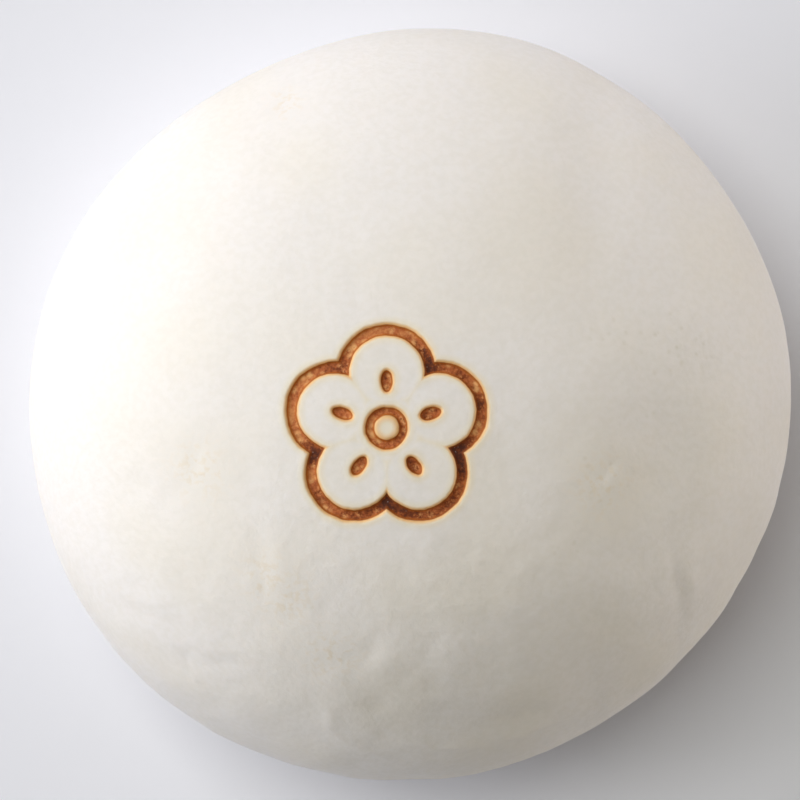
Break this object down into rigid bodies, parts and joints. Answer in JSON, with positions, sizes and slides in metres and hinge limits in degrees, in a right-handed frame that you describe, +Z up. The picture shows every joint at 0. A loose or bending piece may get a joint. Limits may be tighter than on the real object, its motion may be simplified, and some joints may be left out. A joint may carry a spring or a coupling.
{
  "type": "steamed pork bun",
  "caption": "Round steamed bun of smooth white dough with a domed top, a tucked rim and a flat base, and a blossom mark burnt and pressed into its top.",
  "frame": {"origin": "middle of the flat base, under the middle of the bun's outline", "axes": "+Z up through the dome; +X to the right and +Y up the page when the bun is seen from above with its mark the right way up"},
  "size_m": [0.1008, 0.0996, 0.0552],
  "materials": {
    "dough": "matte, slightly translucent white steamed dough, with a toasted brown mark on top"
  },
  "bodies": {
    "root": {"bun": "dough"}
  },
  "joints": []
}
